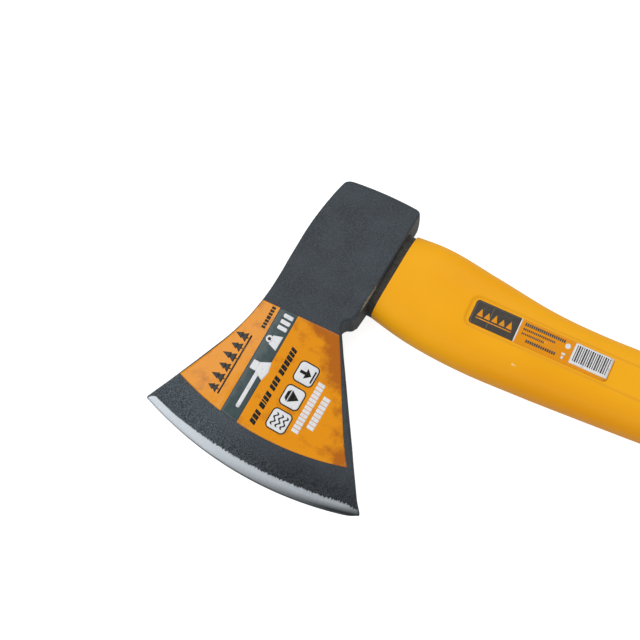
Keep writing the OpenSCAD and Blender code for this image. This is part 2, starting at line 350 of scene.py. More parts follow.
def ring_template(front, side, corner):
    """One turn round a section.

    For each point it gives the signs that carry it to a corner's centre, and its way round that corner.
    """
    run = np.linspace(-1, 1, front)
    height = np.linspace(1, -1, side + 2)[1:-1]
    quarter = np.radians(np.linspace(90, 0, corner))
    ones, zeros = np.ones, np.zeros
    to_x = np.concatenate([
        run, ones(corner), ones(side), ones(corner), -run, -ones(corner), -ones(side), -ones(corner)])
    to_z = np.concatenate([
        ones(front), ones(corner), height, -ones(corner),
        -ones(front), -ones(corner), -height, ones(corner)])
    round_x = np.concatenate([
        zeros(front), np.cos(quarter), ones(side), np.cos(quarter[::-1]),
        zeros(front), -np.cos(quarter), -ones(side), -np.cos(quarter[::-1])])
    round_z = np.concatenate([
        ones(front), np.sin(quarter), zeros(side), -np.sin(quarter[::-1]),
        -ones(front), -np.sin(quarter), zeros(side), np.sin(quarter[::-1])])
    return to_x, to_z, round_x, round_z


def head_levels():
    """Levels from the poll to the edge, closer together at the lug, the notch and the bevel."""
    return np.concatenate([
        np.linspace(POLL_MID, 0, 34)[:-1],
        np.linspace(0, -24, 22)[:-1],
        np.linspace(-24, -36, 34)[:-1],
        np.linspace(-36, TIP_Y + BEVEL_W, 66)[:-1],
        TIP_Y + BEVEL_W * np.linspace(1, 0, 15) ** 1.2])


def head_surface():
    """Sections carried from the poll to the edge. Each is a rounded rectangle between the two sides.

    The poll closes with a flat whose rim turns over in a quarter ellipse, and the last section is drawn
    together into the cutting edge.
    """
    to_x, to_z, round_x, round_z = ring_template(132, 12, 6)
    rim = np.radians(np.linspace(0, 90, 9))
    poll_fill = np.linspace(0, 1, 12)[:-1]
    body = head_levels()
    first = POLL_MID - RIM_V
    levels = np.concatenate([
        np.full(len(poll_fill), POLL_MID), POLL_MID - RIM_V * (1 - np.cos(rim)), body[body < first]])
    rest = np.count_nonzero(body < first)
    inset = np.concatenate([np.ones(len(poll_fill)), 1 - np.sin(rim), np.zeros(rest)])
    grow = np.concatenate([poll_fill, np.ones(len(rim) + rest)])

    tilt = poll_tilt(levels)
    left = side_x(levels - HALF_W * tilt)[0]
    right = side_x(levels + HALF_W * tilt)[1]
    tip = np.clip(1 - (levels - TIP_Y) / ROUND_UP, 0, 1)
    left = left + TOE_ROUND * (1 - np.sqrt(1 - tip**2)) - 0.3 * (1 - ease(levels, TIP_Y, TIP_Y + 14))
    right = right - HEEL_ROUND * (1 - np.sqrt(1 - tip**2))
    mid, half_w = (left + right) / 2, ((right - left) / 2 - RIM_W * inset) * grow
    half_h = (half_thickness(levels) - RIM_H * inset) * grow * np.clip((levels - TIP_Y) / 0.1, 0, 1)
    lug = bell(levels, -26, 9)
    radius_heel = np.minimum(1.1 + 0.9 * lug, 0.8 * half_h)
    radius_toe = np.minimum(1.5, 0.8 * half_h)

    toe_or_heel = np.where(to_x[None] > 0, radius_heel[:, None], radius_toe[:, None])
    radius = np.where(np.abs(to_x)[None] < 1, 0.5 * (radius_heel + radius_toe)[:, None], toe_or_heel)
    run = (to_x[None] + 1) / 2
    start = mid - half_w + radius_toe
    stop = mid + half_w - radius_heel
    u = start[:, None] + run * (stop - start)[:, None] + round_x * radius
    share = np.clip((u - left[:, None]) / (right - left)[:, None], 0, 1)
    thick = across_thickness(levels[:, None], share)
    z = (to_z * (half_h[:, None] - radius) + round_z * radius) * thick
    flat_side = (np.abs(round_x) == 1) & (np.abs(to_z) < 1)
    u = u + np.where(flat_side, np.sign(round_x) * 0.35 * (1 - to_z**2), 0)
    crown = 1.0 * (1 - (2 * share - 1) ** 2) * ease(levels, 8.0, POLL_MID)[:, None]
    at_heel = np.clip((share - 0.95) / 0.05, 0, 1) ** 2
    worn_heel = 1.1 * at_heel * (1 - ease(levels, TIP_Y, TIP_Y + 8))[:, None]
    bow = level_weight(levels)[:, None] * edge_bow(share)
    v = levels[:, None] + tilt[:, None] * (u - mid[:, None]) + crown + worn_heel - bow
    v, z = np.broadcast_arrays(v, z)
    worn = 0.10 * ripple(u, v, wavelength=23.0, seed=2) * ease(np.abs(round_x), 0.05, 0.6)
    points = to_design(u + worn, v, z)
    rows, columns = z.shape
    return points.reshape(-1, 3), grid_faces(rows, columns, wrap=True)


def closed_tube(points, columns, faces):
    """Closes the open ends of a wrapped grid with a point in the middle of each end ring."""
    first, last = points[:columns].mean(0), points[-columns:].mean(0)
    count = len(points)
    ring = np.arange(columns)
    step = (ring + 1) % columns
    caps = [
        np.stack([step, ring, np.full(columns, count)], -1),
        np.stack([count - columns + ring, count - columns + step, np.full(columns, count + 1)], -1)]
    quads = [list(map(int, f)) for f in faces]
    return np.concatenate([points, [first, last]]), quads + [list(map(int, f)) for cap in caps for f in cap]


def tube_piece(name, rings, material):
    """A closed piece from rings of points, an array of rows by columns by three."""
    rows, columns, _ = rings.shape
    points, faces = closed_tube(rings.reshape(-1, 3), columns, grid_faces(rows, columns, wrap=True))
    mesh = bpy.data.meshes.new(name)
    mesh.from_pydata(((points + ORIGIN) * MM).tolist(), [], faces)
    finish_mesh(mesh)
    piece = bpy.data.objects.new(name, mesh)
    bpy.context.scene.collection.objects.link(piece)
    if material:
        mesh.materials.append(material)
        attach(piece, BODY)
    return piece


def stadium(height, width, count):
    """Points of an upright oval with straight sides: height along y, width along z, round ends."""
    r = width / 2
    turn = np.radians(np.linspace(0, 360, count, endpoint=False))
    return np.stack([np.sign(np.cos(turn)) * (height / 2 - r) + r * np.cos(turn), r * np.sin(turn)], -1)


# The handle's sizes

HANDLE_T = 23.0
GRIP_HALF = CHEEK - 0.9
STATIONS = [
    (-8, 20.8, -19.6, HANDLE_T / 2 + 0.1), (18, 22.9, -25.3, HANDLE_T / 2 + 0.1),
    (45, 19.6, -27.5, HANDLE_T / 2), (75, 15.5, -26.9, HANDLE_T / 2 - 0.1),
    (100, 14.7, -25.7, HANDLE_T / 2 - 0.1), (130, 15.9, -24.0, HANDLE_T / 2 + 0.1),
    (165, 17.6, -21.6, HANDLE_T / 2 + 0.9), (205, 17.2, -18.8, GRIP_HALF), (245, 14.2, -20.6, GRIP_HALF),
    (275, 9.8, -27.5, GRIP_HALF), (302, 6.2, -38.5, GRIP_HALF), (326, 7.5, -42.0, GRIP_HALF)]
BUTT_ROUND, BUTT_POWER = 13.0, 2.4
SECTION_POWER = 2.7
PANEL = (38.5, 160.5, -2.0, 15.2, 4.0)
PANEL_DEPTH = 0.5
GRIP_WALL, RIB_H = 2.2, 0.9

# The labels' sizes. Prints are placed in a reading frame: the head label's runs up the blade and then
# towards the toe side, the handle label's along the handle and then up.

FILM_T, INK_T = 0.12, 0.02
LABEL_MID, LABEL_R, LABEL_MARGIN = np.array([-17.2, 40.0]), 136.0, 0.6
LABEL_TOP = np.array([-6.3, -38.3])
LABEL_TOE_TOP = np.array([float(toe_side(np.array(-41.0))) + LABEL_MARGIN, -41.0])
LABEL_TOE = meets_circle(
    [float(toe_side(np.array(-75.0))) + LABEL_MARGIN, -75.0], -90 - TOE_ANGLE, LABEL_MID, LABEL_R)
LABEL_HEEL = meets_circle(LABEL_TOP, -90 + HEEL_ANGLE - 1.7, LABEL_MID, LABEL_R)
BAND = (-36.1, -27.0)
BLOCK_CORNER = 0.25
PINE_LINE, PINE_PITCH = (-86.5, 42.6), 5.4
PINE_HEIGHTS = (4.4, 5.8, 5.0, 6.2, 4.8, 5.6)
MAKER_BAR = (-73.0, 41.2, 31.0, 0.8)
MODEL_BLOCKS = (1.2, 1.2, 1.2, 1.6, 1.2, 1.2, 1.2)
NAME_BLOCKS = (
    2.0, 2.0, 1.6, -1.0, 2.2, 0.8, 1.7, 1.9, -1.0, 1.7, 1.7, 1.9, -1.0, 1.9, 2.0, 2.0, 2.0, 1.6, 1.6)
HAFT = (-78.6, 30.4, 22.0, 1.9)
HAFTED_BLADE = [[-73.6, 26.9], [-68.8, 25.9], [-64.0, 26.9], [-66.4, 31.7], [-71.0, 31.7]]
HAFTED_POLL = (-68.7, 33.1, 4.5, 3.2)
WEIGHT = (-55.0, 28.2, 7.2, 4.4, 4.4)
WEIGHT_RING = (-55.0, 33.4)
FIGURE_X, FIGURE_PITCH, FIGURE = -48.2, 2.9, (30.6, 1.9, 4.8)
LABEL_ROWS = ((-86.8, 1.9, 1.7, 13), (-82.2, -3.4, 1.8, 8))
BADGES = (-60.9, -73.3, -85.6)
BADGE_FRAME, BADGE_FACE = (10.55, 10.6, 10.2), (10.55, 9.5, 9.1)
TAG_X, TAG_L, TAG_H = 40.8, 68.0, 11.8
TAG_ROWS = (
    (24.4, 4.1, 0.74, 1.6, 20), (24.4, 1.7, 0.62, 1.1, 18),
    (24.4, -0.5, 0.6, 1.0, 13), (27.4, -3.2, 0.8, 1.5, 14))
STRIPE_X, STRIPE_PITCH, STRIPE_WIDTHS = 50.2, 1.06, (0.4, 0.76, 0.54)


# Where the head's finish changes, as depths in from the cutting edge: where it starts and where it is full
GRIT_FROM, GRIT_FULL = 34.0, 12.0
PITS_FROM, PITS_FULL = 19.0, 9.0
# Painted shade on the bevel's outer strip, where it rolls over
ROLL_SHADE_FROM, ROLL_SHADE_FULL = 3.8, 1.0
HONED_FROM, HONED_FULL = 0.7, 0.25
# The same as places along the edge, from the toe's half, which is negative, to the heel's
# Pale specks of painted highlight, on the toe's half that faces the key light
PAINTED_GLINTS_HEEL, PAINTED_GLINTS_TOE = 25.0, -25.0
PITS_TOE, PITS_HEEL = -30.0, 20.0
RAGGED_TOE, RAGGED_HEEL = -34.0, -16.0
# The bevel's painted shade grows from the toe's side to the heel's
ROLL_SHADE_TOE, ROLL_SHADE_HEEL = -20.0, 44.0
# Places along the edge and the width of bare steel there
GROUND_RUN = (TOE_RUN, -40, -15, 25, HEEL_RUN - 8, HEEL_RUN)
GROUND_W = (4.2, 4.4, 5.4, 5.8, 5.2, 2.6)
# Pale scuffs on the handle: places along and up, then their reach both ways
SCUFFS = ((68.0, -17.6, 2.6, 0.8), (2.7, 0.7, 0.7, 0.7), (150.0, 6.0, 1.4, 0.5))
# How far the painted shade, a deeper yellow, reaches up from the handle's lower side, and where along it it
# is full
SHADE_UP, SHADE_FULL, SHADE_SHARE = 17.0, 90.0, 0.65


# Finishes


def linear(hex_colour):
    """An sRGB hex colour as linear light, with full alpha."""
    channels = [int(hex_colour[i : i + 2], 16) / 255 for i in (1, 3, 5)]
    return tuple(c / 12.92 if c <= 0.04045 else ((c + 0.055) / 1.055) ** 2.4 for c in channels) + (1.0,)


def add(tree, kind, output, inputs=None, **settings):
    """Adds a shader node with its settings, fills or links its inputs and gives back one output."""
    node = tree.nodes.new("ShaderNode" + kind)
    for key, value in settings.items():
        setattr(node, key, value)
    for key, value in (inputs or {}).items():
        if isinstance(value, bpy.types.NodeSocket):
            tree.links.new(value, node.inputs[key])
        else:
            node.inputs[key].default_value = linear(value) if isinstance(value, str) else value
    return node.outputs[output]


def new_finish(name, **fixed):
    """A new material, its node tree, its surface shader with fixed values and the object coordinates."""
    material = bpy.data.materials.new(name)
    material.use_nodes = True
    tree = material.node_tree
    shader = next(n for n in tree.nodes if n.type == "BSDF_PRINCIPLED")
    for key, value in fixed.items():
        shader.inputs[key.replace("_", " ")].default_value = value
    return material, tree, shader, add(tree, "TexCoord", "Object")


def textured_enamel(colours):
    """Slate enamel sprayed on forged steel, with a bevel ground through it.

    The paint is satin and grainy, with fine paler specks, and is rubbed to brown metal on one crease.
    Towards the edge it turns gritty, with pale specks of painted highlight on the toe's half and dark
    pits by the bevel. The bevel is bright, with grinding lines square to the edge, and painted shade
    darkens it where it rolls over at the heel.
    The paint ends there in a ragged line.
    """
    material, tree, shader, place = new_finish("textured_enamel_and_ground_steel", Specular_IOR_Level=0.42)
    specks = add(
        tree, "TexNoise", "Fac",
        {"Vector": place, "Scale": 1 / (0.6 * MM), "Detail": 4.0, "Roughness": 0.7})
    clouds = add(tree, "TexNoise", "Fac", {"Vector": place, "Scale": 1 / (11 * MM), "Detail": 2.0})
    pale = add(tree, "MapRange", 0, {"Value": specks, "From Min": 0.42, "From Max": 0.72})
    paint = add(tree, "Mix", 2, {0: pale, 6: colours.enamel, 7: colours.enamel_specks}, data_type="RGBA")
    cloudy = add(tree, "MapRange", 0, {"Value": clouds, "From Min": 0.35, "From Max": 0.75, "To Max": 0.35})
    paint = add(tree, "Mix", 2, {0: cloudy, 6: paint, 7: colours.enamel_specks}, data_type="RGBA")

    # The crease rubbed to metal
    wear = add(tree, "Attribute", "Fac", attribute_name="wear")
    chips = add(
        tree, "TexNoise", "Fac",
        {"Vector": place, "Scale": 1 / (0.7 * MM), "Detail": 5.0, "Roughness": 0.8})
    reach = add(tree, "Math", 0, {0: wear, 1: chips}, operation="ADD")
    rubbed = add(tree, "MapRange", 0, {"Value": reach, "From Min": 1.0, "From Max": 1.2, "To Max": 0.8})
    paint = add(tree, "Mix", 2, {0: rubbed, 6: paint, 7: "#96896f"}, data_type="RGBA")

    # Grit towards the edge: pale specks of painted highlight on the toe's half, then dark pits
    depth = add(tree, "Attribute", "Fac", attribute_name="edge_depth")
    along = add(tree, "Attribute", "Fac", attribute_name="edge_run")
    ground_off = add(tree, "Attribute", "Fac", attribute_name="ground_off")
    grit = add(
        tree, "TexNoise", "Fac",
        {"Vector": place, "Scale": 1 / (0.5 * MM), "Detail": 3.0, "Roughness": 0.7})
    below = add(tree, "MapRange", 0, {"Value": depth, "From Min": GRIT_FROM, "From Max": GRIT_FULL})
    lit_toe_half = add(tree, "MapRange", 0, {"Value": along, "From Min": PAINTED_GLINTS_HEEL, "From Max": PAINTED_GLINTS_TOE})
    painted_glints = add(tree, "MapRange", 0, {"Value": grit, "From Min": 0.42, "From Max": 0.70, "To Max": 0.7})
    painted_glints = add(tree, "Math", 0, {0: painted_glints, 1: below}, operation="MULTIPLY")
    painted_glints = add(tree, "Math", 0, {0: painted_glints, 1: lit_toe_half}, operation="MULTIPLY")
    # The pale blue-grey specks are painted highlight: sheen the light leaves on the toe's half
    paint = add(tree, "Mix", 2, {0: painted_glints, 6: paint, 7: "#76848f"}, data_type="RGBA")
    close_below = add(tree, "MapRange", 0, {"Value": depth, "From Min": PITS_FROM, "From Max": PITS_FULL})
    heel_side = add(
        tree, "MapRange", 0, {"Value": along, "From Min": PITS_TOE, "From Max": PITS_HEEL, "To Min": 0.45})
    pits = add(tree, "MapRange", 0, {"Value": grit, "From Min": 0.55, "From Max": 0.44})
    pits = add(tree, "Math", 0, {0: pits, 1: close_below}, operation="MULTIPLY")
    pits = add(tree, "Math", 0, {0: pits, 1: heel_side}, operation="MULTIPLY")
    paint = add(tree, "Mix", 2, {0: pits, 6: paint, 7: "#0d1012"}, data_type="RGBA")

    # The ragged line where the paint was ground away
    squeezed = add(tree, "Math", 0, {0: depth, 1: 0.12}, operation="MULTIPLY")
    edge_place = add(tree, "CombineXYZ", 0, {"X": along, "Y": squeezed})
    grinding = add(tree, "TexNoise", "Fac", {"Vector": edge_place, "Scale": 2.2, "Detail": 4.0})
    teeth = add(
        tree, "TexNoise", "Fac", {"Vector": edge_place, "Scale": 1.1, "Detail": 4.0, "Roughness": 0.65})
    ragged = add(
        tree, "MapRange", 0,
        {"Value": along, "From Min": RAGGED_TOE, "From Max": RAGGED_HEEL, "To Min": 0.6, "To Max": 3.4})
    teeth = add(tree, "Math", 0, {0: teeth, 1: 0.5}, operation="SUBTRACT")
    limit = add(tree, "Math", 0, {0: teeth, 1: ragged, 2: ground_off}, operation="MULTIPLY_ADD")
    bare = add(tree, "MapRange", 0, {"Value": limit, "From Min": -0.12, "From Max": 0.22})

    # Ground steel, with painted shade where it rolls over at the heel, and dull where the edge is honed
    lines = add(tree, "MapRange", 0, {"Value": grinding, "From Min": 0.3, "From Max": 0.75, "To Max": 0.6})
    steel = add(tree, "Mix", 2, {0: lines, 6: colours.steel, 7: "#dfe4e8"}, data_type="RGBA")
    shaded_heel_half = add(tree, "MapRange", 0, {"Value": along, "From Min": ROLL_SHADE_TOE, "From Max": ROLL_SHADE_HEEL})
    outer = add(
        tree, "MapRange", 0,
        {"Value": depth, "From Min": ROLL_SHADE_FROM, "From Max": ROLL_SHADE_FULL, "To Max": 0.97})
    painted_roll_shade = add(tree, "Math", 0, {0: outer, 1: shaded_heel_half}, operation="MULTIPLY")
    # Painted shade: near-black over the outer bevel on the heel's half
    steel = add(tree, "Mix", 2, {0: painted_roll_shade, 6: steel, 7: "#2b2e2f"}, data_type="RGBA")
    honed = add(
        tree, "MapRange", 0,
        {"Value": depth, "From Min": HONED_FROM, "From Max": HONED_FULL, "To Max": 0.6})
    steel = add(tree, "Mix", 2, {0: honed, 6: steel, 7: "#5c6164"}, data_type="RGBA")
    colour = add(tree, "Mix", 2, {0: bare, 6: paint, 7: steel}, data_type="RGBA")
    tree.links.new(colour, shader.inputs["Base Color"])
    tree.links.new(bare, shader.inputs["Metallic"])

    # Gloss and relief
    satin = add(
        tree, "MapRange", 0,
        {"Value": specks, "From Min": 0.3, "From Max": 0.8, "To Min": 0.42, "To Max": 0.6})
    ground = add(
        tree, "MapRange", 0,
        {"Value": grinding, "From Min": 0.3, "From Max": 0.7, "To Min": 0.36, "To Max": 0.5})
    gloss = add(tree, "Mix", 0, {0: bare, 2: satin, 3: ground}, data_type="FLOAT")
    tree.links.new(gloss, shader.inputs["Roughness"])
    faint = add(tree, "Math", 0, {0: grinding, 1: 0.15}, operation="MULTIPLY")
    coarse = add(tree, "MapRange", 0, {"Value": below, "To Min": 0.45, "To Max": 1.6})
    beads = add(tree, "Math", 0, {0: grit, 1: coarse}, operation="MULTIPLY")
    height = add(tree, "Mix", 0, {0: bare, 2: beads, 3: faint}, data_type="FLOAT")
    bump = add(tree, "Bump", 0, {"Height": height, "Distance": 0.30 * MM})
    tree.links.new(bump, shader.inputs["Normal"])
    return material


def cast_epoxy(colours):
    """Epoxy poured dark and set in the open: near black, half gloss, with dust and sink marks."""
    material, tree, shader, place = new_finish("cast_epoxy", Specular_IOR_Level=0.35)
    dust = add(
        tree, "TexNoise", "Fac",
        {"Vector": place, "Scale": 1 / (1.6 * MM), "Detail": 5.0, "Roughness": 0.7})
    dusty = add(tree, "MapRange", 0, {"Value": dust, "From Min": 0.42, "From Max": 0.75})
    colour = add(tree, "Mix", 2, {0: dusty, 6: colours.epoxy, 7: "#4c463c"}, data_type="RGBA")
    tree.links.new(colour, shader.inputs["Base Color"])
    gloss = add(
        tree, "MapRange", 0,
        {"Value": dust, "From Min": 0.3, "From Max": 0.8, "To Min": 0.4, "To Max": 0.65})
    tree.links.new(gloss, shader.inputs["Roughness"])
    sinks = add(tree, "TexNoise", "Fac", {"Vector": place, "Scale": 1 / (3 * MM), "Detail": 3.0})
    bump = add(tree, "Bump", 0, {"Height": sinks, "Distance": 0.25 * MM})
    tree.links.new(bump, shader.inputs["Normal"])
    return material


def pultruded_fibreglass():
    """Glass rovings drawn through polyester: straw coloured, lined lengthways, dotted at its cut ends."""
    material, tree, shader, place = new_finish("pultruded_fibreglass", Roughness=0.5)
    stretched = add(tree, "Mapping", 0, {"Vector": place, "Scale": (0.02, 1.0, 1.0)})
    rovings = add(tree, "TexNoise", "Fac", {"Vector": stretched, "Scale": 1 / (0.6 * MM), "Detail": 3.0})
    banded = add(tree, "MapRange", 0, {"Value": rovings, "From Min": 0.3, "From Max": 0.7})
    colour = add(tree, "Mix", 2, {0: banded, 6: "#7d744f", 7: "#bdb48c"}, data_type="RGBA")
    tree.links.new(colour, shader.inputs["Base Color"])
    bump = add(tree, "Bump", 0, {"Height": rovings, "Distance": 0.05 * MM})
    tree.links.new(bump, shader.inputs["Normal"])
    return material


def moulded_polypropylene(colours):
    """Warm yellow polypropylene from a polished mould.

    It is half gloss and faintly uneven, with pale scuffs. A deeper yellow along its lower side is
    painted shade, and so is the brown in the corner of its panel.
    """
    material, tree, shader, place = new_finish("moulded_polypropylene", Specular_IOR_Level=0.18)
    flow = add(tree, "TexNoise", "Fac", {"Vector": place, "Scale": 1 / (40 * MM), "Detail": 2.0})
    flowing = add(tree, "MapRange", 0, {"Value": flow, "From Min": 0.3, "From Max": 0.7})
    colour = add(
        tree, "Mix", 2, {0: flowing, 6: colours.plastic, 7: colours.plastic_pale}, data_type="RGBA")
    nicks = add(
        tree, "TexNoise", "Fac",
        {"Vector": place, "Scale": 1 / (1.8 * MM), "Detail": 6.0, "Roughness": 0.8})
    knocks = add(tree, "Attribute", "Fac", attribute_name="scuff")
    nicks = add(tree, "Math", 0, {0: knocks, 1: 0.35, 2: nicks}, operation="MULTIPLY_ADD")
    scuffed = add(tree, "MapRange", 0, {"Value": nicks, "From Min": 0.74, "From Max": 0.84, "To Max": 0.7})
    colour = add(tree, "Mix", 2, {0: scuffed, 6: colour, 7: "#f6e2b4"}, data_type="RGBA")
    # Painted shade: a deeper yellow along the lower side, which curves away from the light
    lower_shade = add(tree, "Attribute", "Fac", attribute_name="painted_lower_shade")
    colour = add(tree, "Mix", 2, {0: lower_shade, 6: colour, 7: "#df8e00"}, data_type="RGBA")
    # Painted shade: brown darkening along the panel's rim, where its step would lie in shade
    rim = add(tree, "Attribute", "Fac", attribute_name="painted_rim_shade")
    rim = add(tree, "Math", 0, {0: rim, 1: 0.3}, operation="MULTIPLY")
    colour = add(tree, "Mix", 2, {0: rim, 6: colour, 7: "#b47300"}, data_type="RGBA")
    tree.links.new(colour, shader.inputs["Base Color"])
    gloss = add(
        tree, "MapRange", 0,
        {"Value": flow, "From Min": 0.3, "From Max": 0.7, "To Min": 0.34, "To Max": 0.46})
    tree.links.new(gloss, shader.inputs["Roughness"])
    orange_peel = add(tree, "TexNoise", "Fac", {"Vector": place, "Scale": 1 / (1.5 * MM), "Detail": 2.0})
    bump = add(tree, "Bump", 0, {"Height": orange_peel, "Distance": 0.02 * MM})
    tree.links.new(bump, shader.inputs["Normal"])
    return material


def moulded_rubber(colours):
    """Black thermoplastic rubber from a spark-eroded mould: matt, with an even grain and a little dust."""
    material, tree, shader, place = new_finish("moulded_rubber")
    pits = add(
        tree, "TexNoise", "Fac",
        {"Vector": place, "Scale": 1 / (0.8 * MM), "Detail": 3.0, "Roughness": 0.6})
    dust = add(
        tree, "TexNoise", "Fac",
        {"Vector": place, "Scale": 1 / (16 * MM), "Detail": 5.0, "Roughness": 0.7})
    dusty = add(tree, "MapRange", 0, {"Value": dust, "From Min": 0.45, "From Max": 0.8})
    colour = add(tree, "Mix", 2, {0: dusty, 6: colours.rubber, 7: "#2a2b2d"}, data_type="RGBA")
    tree.links.new(colour, shader.inputs["Base Color"])
    gloss = add(
        tree, "MapRange", 0,
        {"Value": pits, "From Min": 0.3, "From Max": 0.7, "To Min": 0.6, "To Max": 0.8})
    tree.links.new(gloss, shader.inputs["Roughness"])
    bump = add(tree, "Bump", 0, {"Height": pits, "Distance": 0.10 * MM})
    tree.links.new(bump, shader.inputs["Normal"])
    return material


def printed_film(name, ink, rubbed_ink, wear_size=4.0):
    """Ink printed on clear polyester film: even colour with rubbed, darker clouds, under a wet gloss."""
    material, tree, shader, place = new_finish(name, Roughness=0.10, Specular_IOR_Level=0.5)
    patches = add(
        tree, "TexNoise", "Fac",
        {"Vector": place, "Scale": 1 / (wear_size * MM), "Detail": 5.0, "Roughness": 0.65})
    smudge = add(tree, "Attribute", "Fac", attribute_name="smudge")
    patches = add(tree, "Math", 0, {0: smudge, 1: 0.4, 2: patches}, operation="MULTIPLY_ADD")
    cloudy = add(
        tree, "MapRange", 0, {"Value": patches, "From Min": 0.54, "From Max": 0.80, "To Max": 0.95})
    colour = add(tree, "Mix", 2, {0: cloudy, 6: ink, 7: rubbed_ink}, data_type="RGBA")
    tree.links.new(colour, shader.inputs["Base Color"])
    ripples = add(tree, "TexNoise", "Fac", {"Vector": place, "Scale": 1 / (9 * MM), "Detail": 2.0})
    bump = add(tree, "Bump", 0, {"Height": ripples, "Distance": 0.12 * MM})
    tree.links.new(bump, shader.inputs["Normal"])
    return material


# Head


def build_head(sizes, colours):
    """The forging, with the eye cut through it and numbers on it for the paint's wear and the bevel."""
    points, faces = head_surface()
    head = new_piece("axe_head_forging", points, faces, textured_enamel(colours))
    run = np.array([-70, -47.2, -44.6, -41.5, -30, -4.4, -3.2, -2.2, 20.0])
    flare = np.array([2.0, 1.6, 1.0, 0, 0, 0, 0.5, 1.2, 1.8])
    rings = []
    for x, grow in zip(run, flare):
        oval = stadium(sizes.eye_height / MM + 2 * grow, sizes.eye_width / MM + 2 * grow, 72)
        rings.append(to_design(x, oval[:, 0] + EYE_Y, oval[:, 1]))
    cut_away(head, tube_piece("eye_cutter", np.array(rings), None))
    at = piece_points(head)
    u, v = to_head(at)
    reach = np.hypot(u - EDGE_MID[0], v - EDGE_MID[1])
    along = np.arctan2(u - EDGE_MID[0], EDGE_MID[1] - v) * EDGE_R
    corner = np.clip((along - TOE_RUN - 0.3) / 3.0, 0, 1)
    ground = np.interp(along, GROUND_RUN, GROUND_W) * np.sqrt(1 - (1 - corner) ** 2)
    set_attribute(head, "edge_depth", EDGE_R - reach)
    set_attribute(head, "edge_run", along)
    set_attribute(head, "ground_off", ground - (EDGE_R - reach))
    on_crease = bell(u, side_x(v)[1], 1.3) * ease(np.abs(at[:, 2]), 0.6 * CHEEK, 0.9 * CHEEK)
    lug = bell(v, -20, 10)
    set_attribute(head, "wear", on_crease * (0.42 + 0.36 * lug) * ease(v, -36.0, -30.0))
    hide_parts("axe_head")


def build_resin(sizes, colours):
    """The set resin: it fills the eye but for its open end, and stands out of the head as a collar."""
    inner = np.array([NECK_X + 3.9, NECK_X + 5.5, -30, -16, -4.0])
    rings = []
    for x in inner:
        oval = stadium(sizes.eye_height / MM, sizes.eye_width / MM, 96)
        rings.append(to_design(x, oval[:, 0] + EYE_Y, oval[:, 1]))
    wide = stadium(COLLAR_H, COLLAR_T, 96)
    for share in np.linspace(-0.35, 1.0, 10):
        swell = 0.9 * np.clip(0.35 - share, 0, 1) ** 1.5
        oval = stadium(COLLAR_H + 2 * swell, COLLAR_T + 2 * swell, 96)
        face = face_x(oval[:, 0])
        spill = 0.22 * ripple(wide[:, 0] + wide[:, 1], wavelength=17.0, seed=4) * share
        narrowed = oval[:, 1] * (1 - 0.02 * share)
        rings.append(to_design(face + COLLAR_L * share + spill, oval[:, 0], narrowed))
    resin = tube_piece("eye_resin_fill", np.array(rings), cast_epoxy(colours))
    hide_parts("eye_resin")


# Handle


def handle_section(x, turn, grow):
    """Points round the handle: a superellipse between its two outlines, closing over the butt's length."""
    top, bottom = smooth_curve(STATIONS, 1, x), smooth_curve(STATIONS, 2, x)
    t = np.clip((x - HANDLE_END + BUTT_ROUND) / BUTT_ROUND, 0, 1)
    close = (1 - t**BUTT_POWER) ** (1 / BUTT_POWER)
    half_y = (top - bottom) / 2 * close + grow
    half_z = smooth_curve(STATIONS, 3, x) * (0.55 + 0.45 * close) * np.minimum(1, 4 * close) + grow
    c, s = np.cos(turn), np.sin(turn)
    y = (top + bottom) / 2 + half_y * np.sign(c) * np.abs(c) ** (2 / SECTION_POWER)
    return y, half_z * np.sign(s) * np.abs(s) ** (2 / SECTION_POWER)


def rounded_depth(x, y, left, right, middle, height, corner):
    """Distance in from the rim of a rounded rectangle, negative outside it."""
    ax = np.abs(x - (left + right) / 2) - (right - left) / 2 + corner
    ay = np.abs(y - middle) - height / 2 + corner
    return corner - np.hypot(np.maximum(ax, 0), np.maximum(ay, 0)) - np.minimum(np.maximum(ax, ay), 0)


